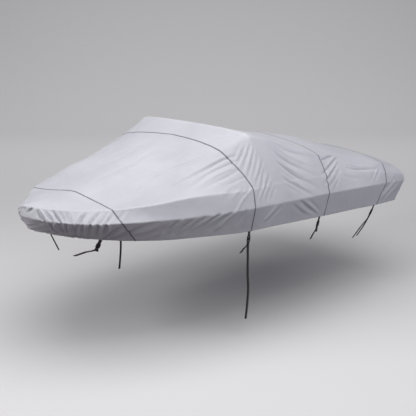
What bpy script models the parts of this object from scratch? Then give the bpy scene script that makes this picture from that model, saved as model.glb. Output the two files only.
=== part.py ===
"""Trailering cover for a small V-hull runabout, shaped as it hangs over the boat.

Five panels of coated polyester cloth are sewn edge to edge by four seams that cross the boat.
Eight tie-down straps, four a side, hang from the hem, each on a side-release buckle.
The boat is left out: the cover is hollow and is carried from below, on the windshield's top.

Lengths are in metres, +X to the bow, +Y to port, +Z up. The tables measure x forward from the
rail at the stern and z up from the low end of the longest strap. The empty cover_datum then
sets the world's origin under the windshield's crest, where the boat carries the cloth.
"""

import bmesh
import bpy
import numpy as np
from mathutils import Matrix, Vector

CLOTH_THICKNESS = 0.0022
SEAM_GAP = 0.0005
WEBBING_WIDTH = 0.030
WEBBING_THICKNESS = 0.0016
SEAT_GAP = 0.0004
PORT, STARBOARD = 1, -1

# Where the world's origin lies in the tables' measure: the crest's underside, on the centreline.
CREST_X = 2.410
CREST_Z = 1.8108

# One row for each section, from the stern to the bow: the points where its hem, rail, break,
# shoulder and crown lie as (x, half breadth, height), the crown on the centreline as (x, height).
# The rail is the fold over the boat's gunwale, and the break the fold where the top turns down.
# arch is 1 where the top arches freely and 0 where it folds at the shoulder; crease is 1 where it
# folds at the break and 0 where it rounds over; steps is the number of rows of faces up to the
# next section.
SECTIONS = (
    # name, hem, rail, break,
    #     shoulder, crown, arch, crease, steps
    ("stern", (0.125, 1.040, 0.757), (-0.015, 1.072, 0.985), (-0.005, 1.045, 1.065),
        (0.030, 0.890, 1.160), (0.050, 1.280), 0.3, 0.0, 4),
    ("seam 4", (0.525, 1.060, 0.775), (0.380, 1.085, 1.015), (0.350, 1.040, 1.130),
        (0.310, 0.965, 1.215), (0.300, 1.325), 0.3, 0.0, 7),
    ("seats", (0.900, 1.065, 0.800), (0.900, 1.105, 1.050), (0.900, 0.995, 1.220),
        (0.900, 0.820, 1.365), (0.900, 1.500), 0.3, 0.0, 8),
    ("seam 3", (1.500, 1.065, 0.830), (1.480, 1.115, 1.085), (1.460, 1.045, 1.260),
        (1.450, 0.915, 1.463), (1.380, 1.590), 0.3, 0.0, 9),
    ("cockpit", (2.000, 1.065, 0.860), (2.000, 1.115, 1.105), (2.000, 1.040, 1.290),
        (2.000, 0.820, 1.645), (2.000, 1.695), 0.3, 0.0, 9),
    ("windshield", (2.410, 1.065, 0.885), (2.410, 1.115, 1.125), (2.410, 1.050, 1.300),
        (2.410, 0.785, 1.795), (2.410, 1.815), 0.1, 0.1, 5),
    ("seam 2", (2.609, 1.045, 0.886), (2.630, 1.120, 1.135), (2.594, 1.052, 1.278),
        (2.700, 0.710, 1.635), (2.700, 1.718), 1.0, 0.4, 9),
    ("foredeck", (3.198, 0.944, 0.926), (3.250, 1.030, 1.150), (3.347, 0.938, 1.303),
        (3.186, 0.592, 1.494), (3.250, 1.570), 1.0, 1.0, 6),
    ("step", (3.526, 0.822, 0.939), (3.600, 0.910, 1.155), (3.693, 0.790, 1.286),
        (3.572, 0.509, 1.391), (3.620, 1.450), 1.0, 1.0, 6),
    ("seam 1", (3.758, 0.694, 0.953), (3.930, 0.730, 1.155), (3.943, 0.601, 1.260),
        (3.920, 0.330, 1.280), (3.930, 1.320), 1.0, 1.0, 7),
    ("bow deck", (4.028, 0.478, 0.976), (4.160, 0.550, 1.155), (4.150, 0.420, 1.255),
        (4.140, 0.240, 1.290), (4.130, 1.305), 1.0, 1.0, 6),
    ("bow curve", (4.267, 0.232, 1.010), (4.360, 0.300, 1.165), (4.330, 0.235, 1.265),
        (4.290, 0.140, 1.290), (4.270, 1.300), 1.0, 1.0, 5),
    ("bow", (4.420, 0.000, 1.050), (4.485, 0.000, 1.185), (4.455, 0.000, 1.275),
        (4.400, 0.000, 1.290), (4.350, 1.295), 1.0, 1.0, 0),
)
# The starboard side hangs fuller beside the foredeck. Its points that differ, as (x, half
# breadth, height).
STARBOARD_SET = {
    ("seam 2", "shoulder"): (2.788, 0.728, 1.636),
    ("foredeck", "break"): (3.250, 0.860, 1.330),
    ("foredeck", "shoulder"): (3.250, 0.690, 1.460),
    ("step", "break"): (3.620, 0.790, 1.315),
    ("step", "shoulder"): (3.620, 0.630, 1.390),
    ("seam 1", "rail"): (3.930, 0.775, 1.150),
    ("seam 1", "break"): (3.920, 0.730, 1.228),
    ("seam 1", "shoulder"): (3.920, 0.500, 1.250),
    ("bow deck", "rail"): (4.160, 0.535, 1.145),
    ("bow deck", "break"): (4.150, 0.450, 1.225),
    ("bow curve", "break"): (4.330, 0.245, 1.220),
    ("bow curve", "shoulder"): (4.290, 0.140, 1.265),
}
LINES = ("hem", "rail", "break", "shoulder", "crown")
NAMES = [row[0] for row in SECTIONS]
ARCH = [row[6] for row in SECTIONS]
CREASE = [row[7] for row in SECTIONS]
STEPS = [row[8] for row in SECTIONS]
CREST = NAMES.index("windshield")
# How much the two sides meet in a ridge along the crown: 0 arches over it, and 1 folds.
ROOF = 0.4
TRANSOM_HEM_X = 0.105
TRANSOM_HALF_BREADTH = 0.985
TRANSOM_BULGE = 0.03
TRANSOM_STEPS = 3

# Where the faces' edges lie up a section, as shares of hem to rail, rail to break, break to
# shoulder and shoulder to crown.
SHARES = (
    (0.0, 0.30, 0.60, 0.88),
    (0.0, 0.20, 0.50, 0.80),
    (0.0, 0.14, 0.30, 0.48, 0.66, 0.84),
    (0.0, 0.12, 0.26, 0.42, 0.58, 0.74, 0.88, 1.0),
)
LEVELS = np.concatenate([level + np.array(shares) for level, shares in enumerate(SHARES)])

# Panels from the stern to the bow, each between two of these places.
PANELS = (
    ("panel_1_stern", "transom", "seam 4"),
    ("panel_2_aft", "seam 4", "seam 3"),
    ("panel_3_windshield", "seam 3", "seam 2"),
    ("panel_4_foredeck", "seam 2", "seam 1"),
    ("panel_5_bow", "seam 1", "bow"),
)

# One row for each fold: its side, its two ends as (x at the rail, level), its half width and its
# height, below zero for a trough. Level 0 is the hem, 1 the rail, 2 the break, 3 the shoulder and
# 4 the crown.
FOLDS = (
    # Fan that spreads down from the windshield's port corner.
    (PORT, (2.45, 2.90), (2.93, 1.60), 0.050, 0.015),
    (PORT, (2.43, 2.80), (2.76, 1.20), 0.050, 0.018),
    (PORT, (2.40, 2.80), (2.60, 1.10), 0.050, 0.018),
    (PORT, (2.37, 2.80), (2.43, 1.10), 0.050, 0.018),
    (PORT, (2.34, 2.80), (2.24, 1.20), 0.052, 0.017),
    # Pulls from the shoulder down to the rail ahead of seam 3.
    (PORT, (2.18, 2.75), (1.98, 1.15), 0.055, 0.015),
    (PORT, (2.02, 2.85), (1.76, 1.15), 0.055, 0.019),
    (PORT, (1.84, 2.85), (1.60, 1.30), 0.052, 0.016),
    # Pulls from the seat's corner, forward to seam 3 and aft along the shoulder.
    (PORT, (0.95, 2.90), (1.46, 2.00), 0.060, 0.018),
    (PORT, (0.92, 2.80), (1.34, 1.20), 0.060, 0.018),
    (PORT, (0.86, 2.75), (1.06, 1.20), 0.055, 0.013),
    (PORT, (0.82, 2.75), (0.42, 2.25), 0.055, 0.014),
    (PORT, (0.52, 2.60), (0.44, 1.20), 0.050, 0.013),
    (PORT, (0.22, 2.30), (0.08, 0.30), 0.050, 0.015),
    # Skirt folds that draw in to the straps.
    (PORT, (1.58, 0.05), (1.80, 0.95), 0.050, 0.014),
    (PORT, (1.56, 0.05), (1.36, 0.95), 0.050, 0.013),
    (PORT, (2.68, 0.05), (2.88, 0.95), 0.050, 0.011),
    (PORT, (0.60, 0.05), (0.82, 0.95), 0.050, 0.012),
    (PORT, (4.10, 0.05), (3.94, 0.95), 0.040, -0.016),
    (PORT, (3.96, 0.20), (3.64, 0.90), 0.048, 0.013),
    (PORT, (3.70, 0.20), (3.26, 0.90), 0.050, 0.012),
    # Gathers that the hem's cord draws into the bow.
    (PORT, (4.22, 0.05), (4.18, 1.10), 0.034, 0.016),
    (PORT, (4.31, 0.05), (4.30, 1.05), 0.034, -0.014),
    (PORT, (4.38, 0.05), (4.38, 1.10), 0.034, 0.014),
    (STARBOARD, (4.22, 0.05), (4.20, 1.10), 0.034, 0.015),
    (STARBOARD, (4.32, 0.05), (4.30, 1.00), 0.034, -0.013),
    (STARBOARD, (4.39, 0.05), (4.38, 1.10), 0.034, 0.013),
    # Long soft pulls across the foredeck's top.
    (PORT, (3.38, 3.40), (2.78, 2.95), 0.060, 0.011),
    (PORT, (3.46, 3.00), (2.80, 2.60), 0.060, 0.011),
    (PORT, (3.66, 2.75), (2.86, 2.30), 0.065, 0.010),
    # The starboard side, drawn differently.
    (STARBOARD, (2.44, 2.85), (2.86, 1.40), 0.050, 0.016),
    (STARBOARD, (2.41, 2.80), (2.64, 1.15), 0.050, 0.018),
    (STARBOARD, (2.37, 2.80), (2.40, 1.15), 0.050, 0.017),
    (STARBOARD, (2.33, 2.80), (2.16, 1.25), 0.052, 0.016),
    (STARBOARD, (2.02, 2.85), (1.80, 1.15), 0.055, 0.018),
    (STARBOARD, (1.84, 2.80), (1.56, 1.35), 0.055, 0.015),
    (STARBOARD, (0.94, 2.85), (1.42, 1.60), 0.060, 0.017),
    (STARBOARD, (0.86, 2.75), (0.52, 1.50), 0.055, 0.014),
    (STARBOARD, (1.60, 0.05), (1.84, 0.95), 0.050, 0.013),
    (STARBOARD, (2.68, 0.05), (2.46, 0.95), 0.050, 0.012),
    (STARBOARD, (3.90, 0.20), (3.48, 0.90), 0.050, 0.013),
    (STARBOARD, (0.20, 2.20), (0.10, 0.30), 0.050, 0.014),
)
FOLD_POINTS = 9
# The slight trough beside a fold: its depth as a share of the ridge's, and its reach in widths.
TROUGH_DEPTH = 0.30
TROUGH_REACH = 1.9

# One row for each pair of straps: x at the hem, then as offsets (inboard positive) from the hem
# the buckle's lower end and the leg's free end, and the points the tail passes on its way from the
# buckle, as offsets from there.
STRAPS = (
    # name, x, buckle end (x, inboard, down), leg end (x, inboard, down)
    ("strap_1", 4.004, (-0.020, 0.085, 0.100), (0.045, 0.370, 0.235),
        ((-0.011, 0.017, 0.034),)),
    ("strap_2", 2.631, (0.000, 0.012, 0.110), (-0.050, 0.165, 0.275),
        ((0.004, -0.001, 0.157), (0.003, -0.001, 0.314), (-0.006, -0.002, 0.471),
        (0.006, -0.003, 0.628), (0.026, -0.003, 0.785))),
    ("strap_3", 1.573, (-0.004, 0.030, 0.112), (-0.068, 0.165, 0.300),
        ((-0.002, 0.007, 0.049),)),
    ("strap_4", 0.570, (0.006, 0.045, 0.115), (0.020, 0.260, 0.446),
        ((-0.018, 0.084, 0.143), (-0.013, 0.172, 0.287))),
)
TAIL_POINTS_PER_SPAN = 2
LEG_POINTS = 5
LEG_DROP = 0.015
BUCKLE_WIDTH = 0.042
BUCKLE_LENGTH = 0.060
BUCKLE_THICKNESS = 0.008
BUCKLE_BAR = 0.005
BUCKLE_SLOT = (0.034, 0.020, 0.008)
BUCKLE_CORNER = 0.002


def fresh_scene():
    """An empty scene with the cover's collection, the cutters' and the datum."""
    for item in list(bpy.data.objects):
        bpy.data.objects.remove(item, do_unlink=True)
    cover = bpy.data.collections.new("boat_cover")
    cutters = bpy.data.collections.new("cutters")
    for collection in (cover, cutters):
        bpy.context.scene.collection.children.link(collection)
    datum = bpy.data.objects.new("cover_datum", None)
    datum.location = (-CREST_X, 0.0, -CREST_Z)
    cover.objects.link(datum)
    return cover, cutters, datum


def material(name, colour, roughness):
    """A Principled material with no metal in it."""
    made = bpy.data.materials.new(name)
    made.use_nodes = True
    shader = made.node_tree.nodes["Principled BSDF"]
    shader.inputs["Base Color"].default_value = (*colour, 1.0)
    shader.inputs["Roughness"].default_value = roughness
    shader.inputs["Metallic"].default_value = 0.0
    made.diffuse_color = (*colour, 1.0)
    return made


def length(vectors):
    return np.linalg.norm(vectors, axis=-1, keepdims=True)


def hermite(start, end, leave, arrive, share):
    """Points on the cubic from start to end with the given tangents."""
    square, cube = share ** 2, share ** 3
    return (
        (2 * cube - 3 * square + 1) * start + (cube - 2 * square + share) * leave
        + (3 * square - 2 * cube) * end + (cube - square) * arrive
    )


def smooth_line(points, places, folded_at=None, mirror_last=False):
    """A smooth curve through points, read at fractional places, straight up to any fold."""
    points = np.asarray(points, float)
    after = points[-2] * (1, -1, 1) if mirror_last else points[-1]
    padded = np.vstack([points[0], points, after])
    back, ahead = points - padded[:-2], padded[2:] - points
    back_length, ahead_length = length(back) + 1e-6, length(ahead) + 1e-6
    slope = back / back_length * ahead_length + ahead / ahead_length * back_length
    slope /= back_length + ahead_length
    first = np.clip(np.floor(places).astype(int), 0, len(points) - 2)
    chord = points[first + 1] - points[first]
    leave, arrive = slope[first] * length(chord), slope[first + 1] * length(chord)
    if folded_at is not None:
        leave = np.where((first == folded_at)[:, None], chord, leave)
        arrive = np.where((first + 1 == folded_at)[:, None], chord, arrive)
    share = (places - first)[:, None]
    return hermite(points[first], points[first + 1], leave, arrive, share)


def half_section(hem, rail, brow, shoulder, crown, arch, crease):
    """One row of points from the hem up to the crown."""
    to_brow, to_shoulder, to_crown = brow - rail, shoulder - brow, crown - shoulder
    side, low, high = (length(run) + 1e-9 for run in (to_brow, to_shoulder, to_crown))
    over = (to_brow / side * low + to_shoulder / low * side) / (side + low)
    reach_brow = over * side * (1 - crease) + to_brow * crease
    leave_brow = over * low * (1 - crease) + to_shoulder * crease
    along = (to_shoulder / low * high + to_crown / high * low) / (low + high)
    reach_shoulder = (along * arch + to_shoulder / low * (1 - arch)) * low
    leave_shoulder = (along * arch + to_crown / high * (1 - arch)) * high
    level = to_crown * (1, 1, 0)
    reach_crown = level / (length(level) + 1e-9) * high * (1 - ROOF) + to_crown * ROOF
    spans = (
        (hem, rail, rail - hem, rail - hem),
        (rail, brow, to_brow, reach_brow),
        (brow, shoulder, leave_brow, reach_shoulder),
        (shoulder, crown, leave_shoulder, reach_crown),
    )
    rows = [hermite(*span, np.array(shares)[:, None]) for span, shares in zip(spans, SHARES)]
    return np.vstack(rows)


def bare_half(side):
    """One side of the bare shape as if to port, rows from the transom's hem to the bow."""
    places = np.concatenate(
        [index + np.arange(count) / count for index, count in enumerate(STEPS[:-1])] + [[len(STEPS) - 1.0]]
    )
    lines = []
    for line, title in enumerate(LINES):
        if title == "crown":
            points = [(row[5][0], 0.0, row[5][1]) for row in SECTIONS]
        elif side == PORT:
            points = [row[1 + line] for row in SECTIONS]
        else:
            points = [STARBOARD_SET.get((row[0], title), row[1 + line]) for row in SECTIONS]
        folded_at = CREST if title in ("shoulder", "crown") else None
        lines.append(smooth_line(points, places, folded_at, mirror_last=title != "crown"))
    lines += [np.interp(places, np.arange(len(SECTIONS)), values) for values in (ARCH, CREASE)]
    body = np.array([half_section(*row) for row in zip(*lines)])
    return np.concatenate([transom(body[0]), body]), places


def transom(edge):
    """Rows of cloth from the transom's hem up to the stern's edge."""
    reach = np.linspace(1.0, 0.0, len(edge)) * TRANSOM_HALF_BREADTH
    foot = np.stack([np.full(len(edge), TRANSOM_HEM_X), reach, np.full(len(edge), edge[0, 2])], axis=1)
    rows = []
    for step in range(TRANSOM_STEPS):
        share = step / TRANSOM_STEPS
        row = foot * (1 - share) + edge * share
        row[:, 0] -= TRANSOM_BULGE * np.sin(np.pi * share)
        rows.append(row)
    return np.array(rows)


def both_sides(port, starboard):
    """Rows that run from the port hem over the crown to the starboard hem."""
    return np.concatenate([port, starboard[:, -2::-1] * (1, -1, 1)], axis=1)


def grid_normals(grid):
    """Outward unit normals of a grid of rows and columns, level with each other at the bow."""
    along = np.gradient(grid, axis=0)
    across = np.gradient(grid, axis=1)
    normal = np.cross(across, along)
    normal /= length(normal) + 1e-12
    middle = grid.shape[1] // 2
    normal[-1, middle] = normal[-2, middle]
    bow = normal[-1] * (1, 0, 1)
    normal[-1] = bow / length(bow)
    return normal


def fold_path(grid, row_places, side, start, end):
    """Points on the bare shape from one end of a fold to the other."""
    rail_x = [row[2][0] for row in SECTIONS]
    share = np.linspace(0, 1, FOLD_POINTS)
    x = start[0] + (end[0] - start[0]) * share
    level = start[1] + (end[1] - start[1]) * share
    place = np.interp(x, rail_x, np.arange(len(rail_x)))
    row = np.interp(place, row_places, np.arange(len(row_places))) + TRANSOM_STEPS
    column = np.interp(level, LEVELS, np.arange(len(LEVELS)))
    if side == STARBOARD:
        column = grid.shape[1] - 1 - column
    low_row = np.minimum(row.astype(int), grid.shape[0] - 2)
    low_column = np.minimum(column.astype(int), grid.shape[1] - 2)
    row_share, column_share = (row - low_row)[:, None], (column - low_column)[:, None]
    near = grid[low_row, low_column] * (1 - column_share) + grid[low_row, low_column + 1] * column_share
    far = grid[low_row + 1, low_column] * (1 - column_share)
    far = far + grid[low_row + 1, low_column + 1] * column_share
    return near * (1 - row_share) + far * row_share


def fold_lift(grid, path, half_width, height):
    """How far one fold lifts each point of the grid: a ridge with a slight trough at each side."""
    nearest = np.full(grid.shape[:2], np.inf)
    share = np.zeros(grid.shape[:2])
    for index in range(len(path) - 1):
        run = path[index + 1] - path[index]
        part = np.clip((grid - path[index]) @ run / (run @ run), 0, 1)
        distance = length(grid - path[index] - part[..., None] * run)[..., 0]
        closer = distance < nearest
        nearest = np.where(closer, distance, nearest)
        share = np.where(closer, (index + part) / (len(path) - 1), share)
    spread = nearest / half_width
    profile = np.exp(-spread ** 2) - TROUGH_DEPTH * np.exp(-(spread / TROUGH_REACH) ** 2)
    taper = np.sqrt(np.clip(4 * share * (1 - share), 0, 1))
    return height / (1 - TROUGH_DEPTH) * profile * taper


def cloth_faces():
    """The outer and inner faces of the whole cover as grids of points, with its folds."""
    port, row_places = bare_half(PORT)
    starboard, _ = bare_half(STARBOARD)
    bare = both_sides(port, starboard)
    lift = np.zeros(bare.shape[:2])
    for side, start, end, half_width, height in FOLDS:
        path = fold_path(bare, row_places, side, start, end)
        lift += fold_lift(bare, path, half_width, height)
    lift[-1] = (lift[-1] + lift[-1, ::-1]) / 2
    outer = bare + grid_normals(bare) * lift[..., None]
    outer[-1, :, 1] = 0.0
    inner = outer - grid_normals(outer) * CLOTH_THICKNESS
    inner[-1, :, 1] = 0.0
    return outer, inner


def pulled_back(rows, at_start, at_end):
    """The rows with an end that meets a seam drawn back by half of the seam's gap."""
    rows = rows.copy()
    for wanted, edge, beside in ((at_start, 0, 1), (at_end, -1, -2)):
        if wanted:
            away = rows[beside] - rows[edge]
            rows[edge] += away / length(away) * SEAM_GAP / 2
    return rows


def split_cell(grid, row, column):
    """A cell of the grid as two triangles on its shorter diagonal, the same for both faces."""
    near, ahead = (row, column), (row + 1, column)
    far, beside = (row + 1, column + 1), (row, column + 1)
    if np.linalg.norm(grid[near] - grid[far]) <= np.linalg.norm(grid[ahead] - grid[beside]):
        return (near, ahead, far), (near, far, beside)
    return (near, ahead, beside), (ahead, far, beside)


def sheet_mesh(name, outer, inner, closed_bow):
    """A closed sheet between two grids of points, shut along the stem when it is the bow's."""
    shell = bmesh.new()
    rows, columns = outer.shape[:2]
    middle = columns // 2
    layers = []
    for grid in (outer, inner):
        layer = [[shell.verts.new(point) for point in row] for row in grid[:-1]]
        last = [shell.verts.new(point) for point in grid[-1, :middle + 1]]
        if closed_bow:
            last += last[-2::-1]
        else:
            last += [shell.verts.new(point) for point in grid[-1, middle + 1:]]
        layers.append(layer + [last])
    top, under = layers
    for row in range(rows - 1):
        for column in range(columns - 1):
            for corners in split_cell(outer, row, column):
                shell.faces.new([top[r][c] for r, c in corners])
                shell.faces.new([under[r][c] for r, c in reversed(corners)])
        for column, step in ((0, 1), (columns - 1, -1)):
            ring = [top[row][column], top[row + 1][column], under[row + 1][column], under[row][column]]
            shell.faces.new(ring[::-step])
    for column in range(columns - 1):
        ends = [(0, -1)] if closed_bow else [(0, -1), (rows - 1, 1)]
        for row, step in ends:
            ring = [top[row][column], top[row][column + 1], under[row][column + 1], under[row][column]]
            shell.faces.new(ring[::-step])
    bmesh.ops.recalc_face_normals(shell, faces=shell.faces)
    mesh = bpy.data.meshes.new(name)
    shell.to_mesh(mesh)
    shell.free()
    return mesh


def place(name, mesh, cover, datum, finish):
    """A named object in the cover's collection, set from the datum."""
    made = bpy.data.objects.new(name, mesh)
    made.data.materials.append(finish)
    made.parent = datum
    cover.objects.link(made)
    return made


def build_panels(outer, inner, cover, datum, finish):
    """The five panels, each a sheet of its own that stops short of its seams."""
    first_row = {"transom": 0, "bow": len(outer) - 1}
    for index, name in enumerate(NAMES[:-1]):
        first_row[name] = TRANSOM_STEPS + sum(STEPS[:index])
    for name, start, end in PANELS:
        rows = slice(first_row[start], first_row[end] + 1)
        meets = (start != "transom", end != "bow")
        mesh = sheet_mesh(
            name, pulled_back(outer[rows], *meets), pulled_back(inner[rows], *meets), end == "bow"
        )
        place(name, mesh, cover, datum, finish)


def hem_frame(outer, inner, side, x):
    """The hem's middle at x with its run along the hem, and the outward direction there."""
    column = 0 if side == PORT else outer.shape[1] - 1
    edge = (outer[TRANSOM_STEPS:, column] + inner[TRANSOM_STEPS:, column]) / 2
    at = int(np.searchsorted(edge[:, 0], x)) - 1
    run = edge[at + 1] - edge[at]
    point = edge[at] + run * (x - edge[at, 0]) / run[0]
    along = run / np.linalg.norm(run)
    outward = np.cross(along, (0, 0, 1)) * -side
    return Vector(point), Vector(along), Vector(outward / np.linalg.norm(outward))


def ribbon(name, centres, sideways, cover, datum, finish):
    """A flat strip of webbing along its centres, as wide as the webbing in the sideways direction."""
    strip = bmesh.new()
    pairs = []
    for centre, across in zip(centres, sideways):
        half = across.normalized() * WEBBING_WIDTH / 2
        pairs.append((strip.verts.new(centre - half), strip.verts.new(centre + half)))
    for (left, right), (next_left, next_right) in zip(pairs, pairs[1:]):
        strip.faces.new((left, right, next_right, next_left))
    mesh = bpy.data.meshes.new(name)
    strip.to_mesh(mesh)
    strip.free()
    made = place(name, mesh, cover, datum, finish)
    solid = made.modifiers.new("thickness", "SOLIDIFY")
    solid.thickness = WEBBING_THICKNESS
    solid.offset = 0.0
    solid.use_even_offset = True
    return made


def buckle(name, seat, cover, cutters, datum, finish):
    """A side-release buckle's body with a slot at each end for the webbing."""
    bpy.ops.mesh.primitive_cube_add(size=1.0)
    body = bpy.context.object
    body.name = name
    body.data.name = name
    body.data.transform(Matrix.Diagonal((BUCKLE_WIDTH, BUCKLE_THICKNESS, BUCKLE_LENGTH, 1.0)))
    body.data.materials.append(finish)
    body.users_collection[0].objects.unlink(body)
    cover.objects.link(body)
    body.parent = datum
    body.matrix_local = seat
    edges = body.modifiers.new("edges", "BEVEL")
    edges.width = BUCKLE_CORNER
    edges.segments = 1
    for end in (-1, 1):
        bpy.ops.mesh.primitive_cube_add(size=1.0)
        slot = bpy.context.object
        slot.name = f"{name}_slot_{'upper' if end > 0 else 'lower'}"
        slot.data.transform(Matrix.Diagonal((*BUCKLE_SLOT, 1.0)))
        slot.users_collection[0].objects.unlink(slot)
        cutters.objects.link(slot)
        slot.parent = datum
        height = BUCKLE_LENGTH / 2 - BUCKLE_BAR - BUCKLE_SLOT[2] / 2
        slot.matrix_local = seat @ Matrix.Translation((0, 0, end * height))
        slot.hide_render = True
        slot.display_type = "WIRE"
        cut = body.modifiers.new(slot.name, "BOOLEAN")
        cut.operation = "DIFFERENCE"
        cut.solver = "EXACT"
        cut.object = slot


def loop_round_bar(end):
    """The webbing's path round a buckle's end bar, as (outward, up) in the buckle's own measure."""
    clear = WEBBING_THICKNESS / 2 + SEAT_GAP
    beside = BUCKLE_THICKNESS / 2 + clear
    bar_inner = BUCKLE_LENGTH / 2 - BUCKLE_BAR
    around = (
        (beside, BUCKLE_LENGTH / 2 + clear), (beside, bar_inner - clear),
        (-beside, bar_inner - clear), (-beside, BUCKLE_LENGTH / 2 + clear),
    )
    return [(outward, end * up) for outward, up in around]


def curve_through(points, count):
    """Evenly spread points on a smooth curve through a few given ones."""
    places = np.linspace(0, len(points) - 1, count)
    return [Vector(point) for point in smooth_line([tuple(point) for point in points], places)]


def offset_from(point, side, step):
    """The point moved by a strap table's offset: forward, inboard and down."""
    forward, inboard, down = step
    return point + Vector((forward, -side * inboard, -down))


def buckle_axes(along, up, outward):
    """Unit directions across the buckle and out of its face, right-handed with up."""
    across = (along - up * along.dot(up)).normalized()
    out = up.cross(across)
    if out.dot(outward) < 0:
        across, out = -across, -out
    return across, out


def build_strap(row, side, hem, cover, cutters, datum, webbing, plastic):
    """One tie-down: its loop at the hem, its buckle, and the webbing with a leg and a tail."""
    name, _, buckle_end, leg_end, tail = row
    name = f"{name}_{'port' if side == PORT else 'starboard'}"
    point, along, outward = hem
    lower = offset_from(point, side, buckle_end)
    up = (point - lower).normalized()
    across, out = buckle_axes(along, up, outward)
    middle = lower + up * BUCKLE_LENGTH / 2
    axes = Matrix((across, out, up)).transposed().to_4x4()
    buckle(f"{name}_buckle", Matrix.Translation(middle) @ axes, cover, cutters, datum, plastic)

    near = WEBBING_THICKNESS / 2 + SEAT_GAP / 2
    seat = point - up * 2 * SEAT_GAP
    loop = [middle + out * beside + up * rise for beside, rise in loop_round_bar(1)]
    centres = [seat + out * near] + loop + [seat - out * near]
    hemward = along if along.dot(across) > 0 else -along
    sideways = [hemward] + [across] * len(loop) + [hemward]
    ribbon(f"{name}_hem_loop", centres, sideways, cover, datum, webbing)

    loop = [middle + out * beside + up * rise for beside, rise in loop_round_bar(-1)]
    foot = middle - up * (BUCKLE_LENGTH / 2 + LEG_DROP)
    tail_top, leg_top = foot + out * near * 2, foot - out * near * 2
    leg_foot = offset_from(point, side, leg_end)
    leg = curve_through([leg_top, (leg_top + leg_foot) / 2, leg_foot], LEG_POINTS)
    hanging = [tail_top] + [offset_from(tail_top, side, step) for step in tail]
    hanging = curve_through(hanging, TAIL_POINTS_PER_SPAN * len(tail) + 1)[::-1]
    centres = hanging + loop + leg
    ribbon(f"{name}_webbing", centres, [across] * len(centres), cover, datum, webbing)


def build():
    cover, cutters, datum = fresh_scene()
    cloth = material("grey_coated_polyester", (0.46, 0.47, 0.51), 0.75)
    webbing = material("black_polyester_webbing", (0.012, 0.012, 0.014), 0.8)
    plastic = material("black_acetal", (0.015, 0.015, 0.017), 0.45)
    outer, inner = cloth_faces()
    build_panels(outer, inner, cover, datum, cloth)
    for row in STRAPS:
        for side in (PORT, STARBOARD):
            hem = hem_frame(outer, inner, side, row[1])
            build_strap(row, side, hem, cover, cutters, datum, webbing, plastic)


build()
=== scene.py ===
import math

import bmesh
import bpy
import numpy as np
from mathutils import Matrix, Vector, noise


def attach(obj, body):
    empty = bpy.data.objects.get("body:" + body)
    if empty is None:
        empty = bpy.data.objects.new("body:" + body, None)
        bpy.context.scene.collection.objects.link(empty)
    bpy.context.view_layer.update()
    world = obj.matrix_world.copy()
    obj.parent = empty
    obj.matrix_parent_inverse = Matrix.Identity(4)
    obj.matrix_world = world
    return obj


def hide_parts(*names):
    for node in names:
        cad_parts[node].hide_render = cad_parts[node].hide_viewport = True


# Trailering cover for a small V-hull runabout, as it hangs over the boat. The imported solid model
# is the frame. In the same places, each part gets its cloth, webbing or moulding here: five
# panels of coated polyester, the seams that join them, and the buckled straps along the hem.
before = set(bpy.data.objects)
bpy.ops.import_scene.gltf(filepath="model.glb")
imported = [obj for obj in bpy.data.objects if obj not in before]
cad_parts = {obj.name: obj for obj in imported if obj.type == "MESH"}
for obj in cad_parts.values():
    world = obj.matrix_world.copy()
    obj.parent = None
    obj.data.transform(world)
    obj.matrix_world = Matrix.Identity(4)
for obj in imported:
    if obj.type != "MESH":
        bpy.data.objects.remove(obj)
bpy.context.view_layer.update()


# The studio: a sweep of pale grey paper, matt and seamless, that runs under the cover and curves up
# far behind it. Softboxes overhead, to port, ahead of the bow and off the stern light the cloth, a
# long lamp lights the sweep's curve, and the room fills the rest.
CAMERA_AT = (5.578, 6.076, 1.279)
CAMERA_HEADING = math.radians(226.353)
CAMERA_DIP = math.radians(15.019)
CAMERA_LENS = 68.2
PAPER_HEIGHT = -2.011
PAPER_WIDTH = 120.0
PAPER_FRONT = -60.0
PAPER_BACK = 11.0
PAPER_CURVE = 8.0
PAPER_CURVE_STEPS = 24
PAPER_TOP = 12.0
# The paper as the camera sees it, and its darker tone for light that bounces off it on to the
# cover, as black cloth laid out of shot would make it.
PAPER_GREY = "#d7d7d9"
FLAGGED_GREY = "#8e898a"
ROOM_GREY = "#c3c3c8"
ROOM_STRENGTH = 0.29


def linear(code):
    """An sRGB hex colour as linear red, green, blue and alpha."""
    channels = [int(code[start:start + 2], 16) / 255 for start in (1, 3, 5)]
    return [c / 12.92 if c <= 0.04045 else ((c + 0.055) / 1.055) ** 2.4 for c in channels] + [1.0]


def node(material, kind, links=(), **settings):
    """Adds a node to a material: settings by socket or property name, links as (input, output)."""
    made = material.node_tree.nodes.new(kind)
    for name, value in settings.items():
        title = name.replace("_", " ")
        if title in made.inputs:
            made.inputs[title].default_value = value
        else:
            setattr(made, name, value)
    for target, source in links:
        material.node_tree.links.new(source, made.inputs[target])
    return made


def new_material(name):
    """An empty material, with its shader and output joined."""
    made = bpy.data.materials.new(name)
    made.use_nodes = True
    made.node_tree.nodes.clear()
    shader = node(made, "ShaderNodeBsdfPrincipled")
    node(made, "ShaderNodeOutputMaterial", [("Surface", shader.outputs["BSDF"])])
    return made, shader


def feed(material, shader, socket, source):
    material.node_tree.links.new(source, shader.inputs[socket])


def new_object(name, data):
    """A new object, linked to the scene."""
    made = bpy.data.objects.new(name, data)
    bpy.context.scene.collection.objects.link(made)
    return made


def face(made, place, way):
    """Sets a camera or a lamp at a place, looking along a direction."""
    made.location = place
    made.rotation_mode = "QUATERNION"
    made.rotation_quaternion = way.to_track_quat("-Z", "Y")


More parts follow.
